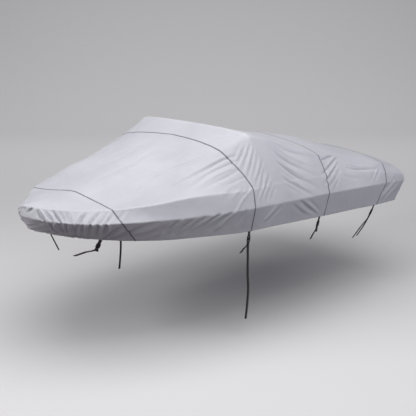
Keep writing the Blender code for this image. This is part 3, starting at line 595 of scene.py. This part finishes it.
for index, (side, points, half_width, height) in enumerate(FOLDS):
    if side == STARBOARD:
        continue
    sway = STARBOARD_SHIFT * math.sin(STARBOARD_RHYTHM * index)
    moved = [(x + sway, level * (1 - STARBOARD_LOWERING * abs(sway))) for x, level in points]
    wider = half_width * (1 + STARBOARD_RESIZING * sway)
    higher = height * (STARBOARD_STRENGTH + STARBOARD_RESIZING * sway)
    folds.append((STARBOARD, moved, wider, higher))
lift = np.zeros(bare.shape[:2])
for side, points, half_width, height in folds:
    path = on_cloth(bare, places, side, points)
    raise_fold(lift, bare, path, half_width / 1000, FOLD_STRENGTH * height / 1000)

# The hem is turned twice, 24 mm deep, over a 6 mm shock cord, and its edge shows as a soft step.
HEM_DEPTH = 0.024
HEM_RISE = 0.0016
HEM_STEP = 0.006
CORD_RISE = 0.0022
CORD_FROM_EDGE = 0.010
CORD_SPREAD = 0.006
steps_up = length(np.diff(bare, axis=1))[..., 0]
run_up = np.cumsum(np.concatenate([np.zeros((len(bare), 1)), steps_up], axis=1), axis=1)
steps_along = length(np.diff(bare, axis=0))[..., 0]
run_along = np.cumsum(np.concatenate([np.zeros((1, bare.shape[1])), steps_along]), axis=0)
from_hem = np.minimum(np.minimum(run_up, run_up[:, -1:] - run_up), run_along)
turned = np.clip((HEM_DEPTH + HEM_STEP / 2 - from_hem) / HEM_STEP, 0, 1)
lift += HEM_RISE * turned + CORD_RISE * bump(from_hem, CORD_FROM_EDGE, CORD_SPREAD)

# The cord draws the skirt into ruffles at the bow. Upwards they lean aft, and forward close to the
# stem. Waves along the hem, in radians a metre, take them off an even pitch and vary their height.
RUFFLE_RISE = 0.015
RUFFLE_REACH = 0.20
RUFFLE_PITCH = 0.060
RUFFLE_LEAN = 0.45
RUFFLE_MEAN = 0.6
RUFFLES_START = 3.85
RUFFLES_RUN = 0.3
LEAN_TURNS_AT = 4.2
LEAN_RUN = 0.12
RUFFLE_WANDER = ((0.6, 13), (0.35, 37))
RUFFLE_VARIANCE = 0.4
RUFFLE_VARIES = ((31, 1.3), (11, 0.0))
at_bow = ramp(along_cover, RUFFLES_START, RUFFLES_RUN)
lean = RUFFLE_LEAN * np.clip((along_cover - LEAN_TURNS_AT) / LEAN_RUN, -1, 1)
phase = (run_along - lean * from_hem) / RUFFLE_PITCH
for share, rate in RUFFLE_WANDER:
    phase = phase + share * np.sin(run_along * rate)
uneven = RUFFLE_VARIANCE
for rate, start in RUFFLE_VARIES:
    uneven = uneven * np.sin(run_along * rate + start)
uneven = 1 - RUFFLE_VARIANCE + uneven
pleated = np.abs(np.sin(np.pi * phase)) - RUFFLE_MEAN
lift += RUFFLE_RISE * pleated * uneven * at_bow * bump(from_hem, 0, RUFFLE_REACH)

# Handling leaves the cloth slightly crumpled all over, a millimetre or so deep.
CRUMPLES = ((7.0, 0.0016), (19.0, 0.0007))
crumple = np.zeros(bare.shape[:2])
for fineness, depth in CRUMPLES:
    for row in range(bare.shape[0]):
        crumple[row] += [depth * noise.noise(Vector(spot) * fineness) for spot in bare[row]]
lift += crumple
lift[-1] = (lift[-1] + lift[-1, ::-1]) / 2
cloth = bare + grid_normals(bare) * lift[..., None] - DATUM
cloth[-1, :, 1] = 0.0
cloth_out = grid_normals(cloth)

first_row = {"transom": 0, "bow": len(cloth) - 1}
for index, name in enumerate(NAMES[:-1]):
    first_row[name] = TRANSOM_STEPS + sum(STEPS[:index])

# Wear pales the cloth along the rail and the break, as (share, level, spread), and on the crest.
WEAR_LINES = ((1.0, 1.0, 0.05), (0.7, 2.0, 0.04))
CREST_WEAR = 0.8
CREST_WEAR_ROWS = 2.0
creased = sum(share * bump(columns, level, spread) for share, level, spread in WEAR_LINES)
wear = np.repeat(creased[None], len(cloth), axis=0)
on_crest = CREST_WEAR * bump(np.arange(len(cloth)), first_row["windshield"], CREST_WEAR_ROWS)
wear += on_crest[:, None] * (columns > OVER_THE_TOP)[None]


# The cloth's finish: yarn-dyed light grey polyester, plain weave, with a matt urethane coating.
# It looks even and dry from a step away, a little paler where it is creased and rubbed, and
# darker in the stitched hem. The weave is drawn at five times its real 0.5 mm spacing to show.
CLOTH_GREY = "#bfc0c8"
CLOTH_SHADE = "#b3b4bd"
CLOTH_RUBBED = "#ced0d6"
HEM_THREAD = "#7f7f88"
WEAVE_SPACING = 0.0025
coated_polyester, shader = new_material("coated_polyester_cloth")
m = coated_polyester
shader.inputs["Sheen Weight"].default_value = 0.12
shader.inputs["Sheen Roughness"].default_value = 0.5
shader.inputs["IOR"].default_value = 1.5
shader.inputs["Specular IOR Level"].default_value = 0.35
grain = node(m, "ShaderNodeUVMap", uv_map="grain")
solid = node(m, "ShaderNodeTexCoord")
in_place = [("Vector", solid.outputs["Object"])]
blotch = node(m, "ShaderNodeTexNoise", in_place, Scale=2.2, Detail=4.0, Roughness=0.6)
fleck = node(m, "ShaderNodeTexNoise", in_place, Scale=260.0, Detail=2.0)
flecked = [(0, blotch.outputs["Fac"]), (1, fleck.outputs["Fac"])]
mottled = node(m, "ShaderNodeMath", flecked, operation="MULTIPLY")
greys = node(m, "ShaderNodeMapRange", [("Value", mottled.outputs["Value"])], From_Min=0.14, From_Max=0.36)
dyed = node(m, "ShaderNodeMix", [("Factor", greys.outputs["Result"])], data_type="RGBA")
dyed.inputs[6].default_value, dyed.inputs[7].default_value = linear(CLOTH_SHADE), linear(CLOTH_GREY)
rubbed_at = node(m, "ShaderNodeAttribute", attribute_name="wear")
scuffs = node(m, "ShaderNodeTexNoise", in_place, Scale=38.0, Detail=5.0)
worn_away = [(0, rubbed_at.outputs["Fac"]), (1, scuffs.outputs["Fac"])]
scuffed = node(m, "ShaderNodeMath", worn_away, operation="MULTIPLY")
over_dye = [("Factor", scuffed.outputs["Value"]), (6, dyed.outputs[2])]
rubbed = node(m, "ShaderNodeMix", over_dye, data_type="RGBA")
rubbed.inputs[7].default_value = linear(CLOTH_RUBBED)
hem_at = node(m, "ShaderNodeAttribute", attribute_name="from_hem")
thread_line = node(m, "ShaderNodeMath", [(0, hem_at.outputs["Fac"])], operation="SUBTRACT")
thread_line.inputs[1].default_value = HEM_DEPTH - 0.002
off_thread = node(m, "ShaderNodeMath", [(0, thread_line.outputs["Value"])], operation="ABSOLUTE")
beside_thread = [("Value", off_thread.outputs["Value"])]
thread = node(m, "ShaderNodeMapRange", beside_thread, From_Min=0.0, From_Max=0.004, To_Min=0.55, To_Max=0.0)
over_cloth = [("Factor", thread.outputs["Result"]), (6, rubbed.outputs[2])]
sewn = node(m, "ShaderNodeMix", over_cloth, data_type="RGBA")
sewn.inputs[7].default_value = linear(HEM_THREAD)
feed(m, shader, "Base Color", sewn.outputs[2])
dryness = node(m, "ShaderNodeMapRange", [("Value", blotch.outputs["Fac"])], To_Min=0.52, To_Max=0.72)
feed(m, shader, "Roughness", dryness.outputs["Result"])
threads = []
for direction in ("X", "Y"):
    waves = node(m, "ShaderNodeTexWave", [("Vector", grain.outputs["UV"])], bands_direction=direction)
    waves.inputs["Scale"].default_value = math.pi / 10 / WEAVE_SPACING
    threads.append(waves)
crossed = [(place, waves.outputs["Fac"]) for place, waves in enumerate(threads)]
weave = node(m, "ShaderNodeMath", crossed, operation="MULTIPLY")
woven = node(m, "ShaderNodeBump", [("Height", weave.outputs["Value"])], Strength=0.25, Distance=0.0004)
rumple = node(m, "ShaderNodeTexNoise", in_place, Scale=14.0, Detail=5.0, Roughness=0.55)
over_weave = [("Height", rumple.outputs["Fac"]), ("Normal", woven.outputs["Normal"])]
rumpled = node(m, "ShaderNodeBump", over_weave, Strength=0.35, Distance=0.006)
feed(m, shader, "Normal", rumpled.outputs["Normal"])


def grid_mesh(name, points, uv_name, uvs):
    """A mesh over rows and columns of points, with one layer of UVs."""
    index = np.arange(points.shape[0] * points.shape[1]).reshape(points.shape[:2])
    corners = (index[:-1, :-1], index[:-1, 1:], index[1:, 1:], index[1:, :-1])
    cells = np.stack(corners, axis=-1).reshape(-1, 4)
    mesh = bpy.data.meshes.new(name)
    mesh.from_pydata(points.reshape(-1, 3).tolist(), [], cells.tolist())
    spread = uvs.reshape(-1, 2)[cells.reshape(-1)]
    mesh.uv_layers.new(name=uv_name).data.foreach_set("uv", spread.reshape(-1))
    return mesh


def thick_sheet(mesh, finish, thickness, offset):
    """The mesh as an object with its finish and its thickness."""
    mesh.shade_smooth()
    mesh.materials.append(finish)
    piece = new_object(mesh.name, mesh)
    skin = piece.modifiers.new("thickness", "SOLIDIFY")
    skin.thickness = thickness
    skin.offset = offset
    return piece


def cloth_panel(name, rows, closed_bow):
    """One panel as a thin sheet, with its thread directions, wear and distance from the hem."""
    threads_at = np.stack([run_along[rows], run_up[rows]], axis=-1)
    mesh = grid_mesh(name, cloth[rows], "grain", threads_at)
    for title, values in (("wear", wear[rows]), ("from_hem", from_hem[rows])):
        layer = mesh.attributes.new(title, "FLOAT", "POINT")
        layer.data.foreach_set("value", np.ascontiguousarray(values, dtype=np.float32).reshape(-1))
    if closed_bow:
        shut = bmesh.new()
        shut.from_mesh(mesh)
        shut.verts.ensure_lookup_table()
        bmesh.ops.remove_doubles(shut, verts=shut.verts[-cloth.shape[1]:], dist=1e-5)
        shut.to_mesh(mesh)
        shut.free()
    return thick_sheet(mesh, coated_polyester, CLOTH_THICKNESS, -1.0)


# Each panel lies flat in a rectangle of its girth, hem to hem, by its length, and was cut to an area.
PANELS = (
    # node, from, to, girth, length, area
    ("panel_1_stern", "transom", "seam 4", 3.05, 0.95, 1.87),
    ("panel_2_aft", "seam 4", "seam 3", 3.30, 1.25, 3.46),
    ("panel_3_windshield", "seam 3", "seam 2", 3.60, 1.50, 4.33),
    ("panel_4_foredeck", "seam 2", "seam 1", 3.45, 1.50, 3.66),
    ("panel_5_bow", "seam 1", "bow", 2.25, 1.05, 1.14),
)
panel_pieces = {}
for node_name, start, end, girth, run, area in PANELS:
    rows = slice(first_row[start], first_row[end] + 1)
    piece = cloth_panel(node_name + "_cloth", rows, end == "bow")
    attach(piece, "root")
    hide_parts(node_name)
    panel_pieces[node_name] = (piece, girth, run, area)


# The four cross seams: each a flat felled seam, the two panels' edges folded into each other and
# sewn down with two rows of darker thread. It stands a little proud and shows as a thin dark line.
SEAM_HALF_WIDTH = 0.0075
SEAM_THICKNESS = 0.0012
SEAM_GREY = "#6f6f78"
SEAM_THREAD = "#4e4e56"
STITCH_LENGTH = 0.008
# Across the seam: how far from its middle and how high above the cloth, in half widths and metres.
SEAM_PROFILE = (
    (-1.0, 0.0002), (-0.85, 0.0013), (-0.45, 0.0008), (0.0, 0.0014),
    (0.45, 0.0008), (0.85, 0.0013), (1.0, 0.0002),
)
felled_seam, shader = new_material("felled_polyester_seam")
m = felled_seam
shader.inputs["Roughness"].default_value = 0.7
shader.inputs["Sheen Weight"].default_value = 0.1
run = node(m, "ShaderNodeUVMap", uv_map="run")
parts = node(m, "ShaderNodeSeparateXYZ", [("Vector", run.outputs["UV"])])
stitch = node(m, "ShaderNodeMath", [(0, parts.outputs["X"])], operation="PINGPONG")
stitch.inputs[1].default_value = STITCH_LENGTH / 2
on_stitch = [("Value", stitch.outputs["Value"])]
sewn_at = node(m, "ShaderNodeMapRange", on_stitch, From_Min=0.0005, From_Max=0.0011)
aside = node(m, "ShaderNodeMath", [(0, parts.outputs["Y"])], operation="ABSOLUTE")
rows_at = node(m, "ShaderNodeMath", [(0, aside.outputs["Value"])], operation="SUBTRACT")
rows_at.inputs[1].default_value = SEAM_HALF_WIDTH * 0.55
near_row = node(m, "ShaderNodeMath", [(0, rows_at.outputs["Value"])], operation="ABSOLUTE")
off_row = [("Value", near_row.outputs["Value"])]
row_mask = node(m, "ShaderNodeMapRange", off_row, From_Min=0.0005, From_Max=0.0009, To_Min=1.0, To_Max=0.0)
in_rows = [(0, sewn_at.outputs["Result"]), (1, row_mask.outputs["Result"])]
stitched = node(m, "ShaderNodeMath", in_rows, operation="MULTIPLY")
colour = node(m, "ShaderNodeMix", [("Factor", stitched.outputs["Value"])], data_type="RGBA")
colour.inputs[6].default_value, colour.inputs[7].default_value = linear(SEAM_GREY), linear(SEAM_THREAD)
feed(m, shader, "Base Color", colour.outputs[2])
puckers = node(m, "ShaderNodeTexNoise", [("Vector", run.outputs["UV"])], Scale=160.0, Detail=2.0)
on_stitches = [(0, stitched.outputs["Value"]), (1, puckers.outputs["Fac"])]
tops = node(m, "ShaderNodeMath", on_stitches, operation="ADD")
raised = node(m, "ShaderNodeBump", [("Height", tops.outputs["Value"])], Strength=0.5, Distance=0.0006)
feed(m, shader, "Normal", raised.outputs["Normal"])


def strip_mesh(name, centres, sideways, out, profile, width, run):
    """A strip's mesh along its centres, with a profile of (share of the width, rise) across it."""
    points = [centres + sideways * share * width + out * rise for share, rise in profile]
    uvs = [np.stack([run, np.full(len(run), share * width)], axis=1) for share, _ in profile]
    return grid_mesh(name, np.array(points), "run", np.array(uvs))


for seam_name in ("seam 1", "seam 2", "seam 3", "seam 4"):
    row = first_row[seam_name]
    ahead = cloth[row + 1] - cloth[row - 1]
    ahead /= length(ahead)
    title = seam_name.replace(" ", "_")
    mesh = strip_mesh(title, cloth[row], ahead, cloth_out[row], SEAM_PROFILE, SEAM_HALF_WIDTH, run_up[row])
    seam = thick_sheet(mesh, felled_seam, SEAM_THICKNESS, -1.0)
    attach(seam, "root")
for node_name, start, end, *_ in PANELS:
    piece, girth, run_length, area = panel_pieces[node_name]


# The tie-downs: eight straps of 30 mm black polyester webbing, four a side. A short loop sewn in
# the hem holds a side-release buckle. The strap's long end goes on under the hull, and its
# free tail hangs from the buckle.
WEBBING_WIDTH = 0.030
WEBBING_THICKNESS = 0.0016
# Across the webbing, in shares of its width. It is flat.
WEBBING_PROFILE = ((-0.5, 0.0), (0.0, 0.0), (0.5, 0.0))
SEAT_GAP = 0.0004
BUCKLE_LENGTH = 0.060
BUCKLE_THICKNESS = 0.008
BUCKLE_BAR = 0.005
# Each pair's place at the hem, then as offsets (forward, inboard, down) from there the buckle's
# lower end and the leg's end, and from the buckle the points that the tail passes.
STRAPS = (
    ("strap_1", 4.004, (-0.020, 0.085, 0.100), (0.045, 0.370, 0.235),
        ((-0.011, 0.017, 0.034),)),
    ("strap_2", 2.631, (0.000, 0.012, 0.110), (-0.050, 0.165, 0.275),
        ((0.004, -0.001, 0.157), (0.003, -0.001, 0.314), (-0.006, -0.002, 0.471),
        (0.006, -0.003, 0.628), (0.026, -0.003, 0.785))),
    ("strap_3", 1.573, (-0.004, 0.030, 0.112), (-0.068, 0.165, 0.300),
        ((-0.002, 0.007, 0.049),)),
    ("strap_4", 0.570, (0.006, 0.045, 0.115), (0.020, 0.260, 0.446),
        ((-0.018, 0.084, 0.143), (-0.013, 0.172, 0.287))),
)
LEG_DROP = 0.015
# The rows of cloth on either side of a strap that give the hem's run there.
HEM_ROWS_ABOUT = 6
WEBBING_BLACK = "#1b1b1e"
WEBBING_WORN = "#2e2e32"
RIB_SPACING = 0.0024

# The webbing's finish: black polyester, woven in ribs across the band, dull with a soft sheen and
# slightly greyed on its ribs. The ribs are drawn at twice their real spacing to show.
woven_webbing, shader = new_material("woven_polyester_webbing")
m = woven_webbing
shader.inputs["Roughness"].default_value = 0.75
shader.inputs["Sheen Weight"].default_value = 0.3
shader.inputs["Sheen Roughness"].default_value = 0.4
run = node(m, "ShaderNodeUVMap", uv_map="run")
ribs = node(m, "ShaderNodeTexWave", [("Vector", run.outputs["UV"])], bands_direction="X")
ribs.inputs["Scale"].default_value = math.pi / 10 / RIB_SPACING
fuzz = node(m, "ShaderNodeTexNoise", [("Vector", run.outputs["UV"])], Scale=420.0, Detail=3.0)
worn = node(m, "ShaderNodeMath", [(0, ribs.outputs["Fac"]), (1, fuzz.outputs["Fac"])], operation="MULTIPLY")
black = node(m, "ShaderNodeMix", [("Factor", worn.outputs["Value"])], data_type="RGBA")
black.inputs[6].default_value = linear(WEBBING_BLACK)
black.inputs[7].default_value = linear(WEBBING_WORN)
feed(m, shader, "Base Color", black.outputs[2])
ribbed = node(m, "ShaderNodeBump", [("Height", ribs.outputs["Fac"])], Strength=0.6, Distance=0.0005)
feed(m, shader, "Normal", ribbed.outputs["Normal"])

# The buckle's finish: black acetal, injection moulded in a lightly spark-eroded tool, so it is
# smooth with a fine even grain and a soft shine along its edges.
ACETAL_BLACK = "#161618"
moulded_acetal, shader = new_material("moulded_black_acetal")
m = moulded_acetal
shader.inputs["Base Color"].default_value = linear(ACETAL_BLACK)
shader.inputs["IOR"].default_value = 1.48
solid = node(m, "ShaderNodeTexCoord")
grain = node(m, "ShaderNodeTexNoise", [("Vector", solid.outputs["Object"])], Scale=900.0, Detail=2.0)
polish = node(m, "ShaderNodeMapRange", [("Value", grain.outputs["Fac"])], To_Min=0.32, To_Max=0.5)
feed(m, shader, "Roughness", polish.outputs["Result"])
grained = node(m, "ShaderNodeBump", [("Height", grain.outputs["Fac"])], Strength=0.3, Distance=0.0002)
feed(m, shader, "Normal", grained.outputs["Normal"])

# The buckle's mouldings as boxes across, through and along it, in millimetres: the socket, its
# strap bar and cheeks, the plug's base with its bars, its two prongs and its guide.
MOULDINGS = (
    ((-17.0, -4.6, -5.0), (17.0, 4.6, 17.0)),
    ((-21.0, -3.0, 25.0), (21.0, 3.0, 30.0)),
    ((-21.0, -3.4, 12.0), (-16.6, 3.4, 29.0)),
    ((16.6, -3.4, 12.0), (21.0, 3.4, 29.0)),
    ((-18.6, -4.0, -7.0), (18.6, 4.0, -2.0)),
    ((-21.0, -3.2, -30.0), (21.0, 3.2, -25.0)),
    ((-21.0, -3.4, -29.0), (-16.6, 3.4, -8.0)),
    ((16.6, -3.4, -29.0), (21.0, 3.4, -8.0)),
    ((-20.0, -3.6, -17.0), (20.0, 3.6, -9.0)),
    ((-21.0, -2.4, -12.0), (-17.4, 2.4, 7.0)),
    ((17.4, -2.4, -12.0), (21.0, 2.4, 7.0)),
    ((-3.0, -5.2, -3.0), (3.0, 5.2, 13.0)),
)
MOULDING_EDGE = 0.0009
shape = bmesh.new()
for low, high in MOULDINGS:
    low, high = Vector(low) / 1000, Vector(high) / 1000
    block = bmesh.ops.create_cube(shape, size=1.0)["verts"]
    bmesh.ops.scale(shape, vec=high - low, verts=block)
    bmesh.ops.translate(shape, vec=(low + high) / 2, verts=block)
buckle_mesh = bpy.data.meshes.new("side_release_buckle")
shape.to_mesh(buckle_mesh)
shape.free()
buckle_mesh.materials.append(moulded_acetal)
buckle_mesh.shade_smooth()


def offset_from(point, side, step):
    """The point moved forward, inboard and down."""
    forward, inboard, down = step
    return point + Vector((forward, -side * inboard, -down))


def hem_frame(side, x):
    """The hem at x, the run along it and the outward direction there."""
    column = 0 if side == PORT else cloth.shape[1] - 1
    rows = slice(TRANSOM_STEPS, len(bare))
    edge = bare[rows, column] - DATUM
    edge = edge - grid_normals(bare)[rows, column] * CLOTH_THICKNESS / 2
    at = int(np.searchsorted(edge[:, 0] + DATUM[0], x)) - 1
    run = edge[at + HEM_ROWS_ABOUT] - edge[at - HEM_ROWS_ABOUT]
    point = edge[at] + run * (x - DATUM[0] - edge[at, 0]) / run[0]
    outward = np.cross(run / np.linalg.norm(run), (0, 0, 1)) * -side
    return Vector(point), Vector(run).normalized(), Vector(outward).normalized()


def band(name, route, sideways, piece_node):
    """A band of webbing that follows a route, as a sheet of its own."""
    places = np.linspace(0, len(route) - 1, POINTS_PER_SPAN * (len(route) - 1) + 1)
    centres = smooth_line([tuple(point) for point in route], places)
    turns = np.array([tuple(direction) for direction in sideways])
    known = np.arange(len(turns))
    turns = np.stack([np.interp(places, known, turns[:, axis]) for axis in range(3)], axis=1)
    turns /= length(turns)
    run = np.concatenate([[0.0], np.cumsum(length(np.diff(centres, axis=0))[:, 0])])
    mesh = strip_mesh(name, centres, turns, 0.0, WEBBING_PROFILE, WEBBING_WIDTH, run)
    piece = thick_sheet(mesh, woven_webbing, WEBBING_THICKNESS, 0.0)
    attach(piece, "root")
    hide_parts(piece_node)
    return piece


def round_bar(end):
    """The webbing's way round a buckle's end bar, as (out, up) from the buckle's middle."""
    clear = WEBBING_THICKNESS / 2 + SEAT_GAP
    beside = BUCKLE_THICKNESS / 2 + clear
    inner = BUCKLE_LENGTH / 2 - BUCKLE_BAR - clear
    outer = BUCKLE_LENGTH / 2 + clear
    outside = ((0.6, outer), (0.9, (inner + outer) / 2), (0.5, inner))
    around = outside + tuple((-share, up) for share, up in outside[::-1])
    return [(beside * share, end * up) for share, up in around]


for strap, hem_x, buckle_end, leg_end, tail in STRAPS:
    for side, side_name in ((PORT, "port"), (STARBOARD, "starboard")):
        name = f"{strap}_{side_name}"
        point, along, outward = hem_frame(side, hem_x)
        lower = offset_from(point, side, buckle_end)
        up = (point - lower).normalized()
        across = (along - up * along.dot(up)).normalized()
        out = up.cross(across)
        if out.dot(outward) < 0:
            across, out = -across, -out
        middle = lower + up * BUCKLE_LENGTH / 2
        buckle = new_object(name + "_buckle_moulding", buckle_mesh)
        buckle.matrix_world = Matrix.Translation(middle) @ Matrix((across, out, up)).transposed().to_4x4()
        edges = buckle.modifiers.new("moulded_edges", "BEVEL")
        edges.width = MOULDING_EDGE
        edges.segments = 3
        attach(buckle, "root")
        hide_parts(name + "_buckle")

        near = WEBBING_THICKNESS / 2 + SEAT_GAP / 2
        seat = point - up * 2 * SEAT_GAP
        hemward = along if along.dot(across) > 0 else -along
        loop = [middle + out * beside + up * rise for beside, rise in round_bar(1)]
        route = [seat + out * near] + loop + [seat - out * near]
        turning = [hemward] + [across] * len(loop) + [hemward]
        band(name + "_loop_band", route, turning, name + "_hem_loop")

        loop = [middle + out * beside + up * rise for beside, rise in round_bar(-1)]
        foot = middle - up * (BUCKLE_LENGTH / 2 + LEG_DROP)
        tail_top, leg_top = foot + out * near * 2, foot - out * near * 2
        leg_foot = offset_from(point, side, leg_end)
        hanging = [tail_top] + [offset_from(tail_top, side, step) for step in tail]
        route = hanging[::-1] + loop + [leg_top, (leg_top + leg_foot) / 2, leg_foot]
        band(name + "_strap_band", route, [across] * len(route), name + "_webbing")
